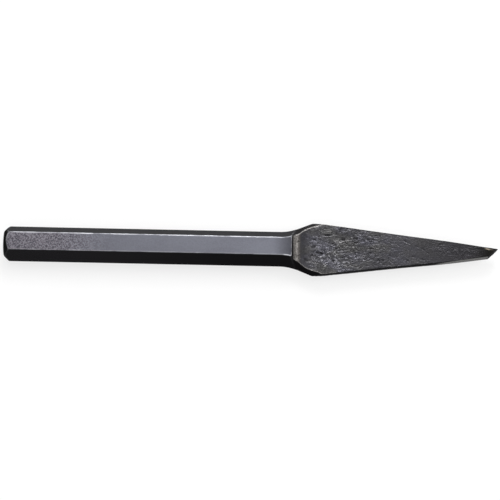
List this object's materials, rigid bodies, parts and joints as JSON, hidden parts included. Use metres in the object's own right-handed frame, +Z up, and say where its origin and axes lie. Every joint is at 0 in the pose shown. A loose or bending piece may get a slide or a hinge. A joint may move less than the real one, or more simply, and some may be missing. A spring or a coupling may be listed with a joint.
{
  "type": "half round nose chisel",
  "caption": "Struck hand chisel of hexagonal bar: chamfered crowned head, flared flat blade, tapering to a half round nose with one ground cutting face.",
  "frame": {"origin": "middle of the floor area that the chisel covers when it lies on a flat of its bar", "axes": "+X along the tool to the cutting point, +Z up, square to the blade's wide faces; +Y is the side of the half round edge and the cutting point"},
  "size_m": [0.1524, 0.0168, 0.0095],
  "materials": {
    "bar_finish": "black oxide on drawn bar, satin blue-grey, finely mottled",
    "forged_finish": "black oxide on forged steel, matt, pitted and rippled",
    "ground_finish": "black oxide over ground steel, with the belly ground bright"
  },
  "bodies": {
    "root": {"struck_head": "bar_finish", "hex_shank": "bar_finish", "shoulder": "forged_finish", "blade": "forged_finish", "nose": "ground_finish"}
  },
  "joints": []
}
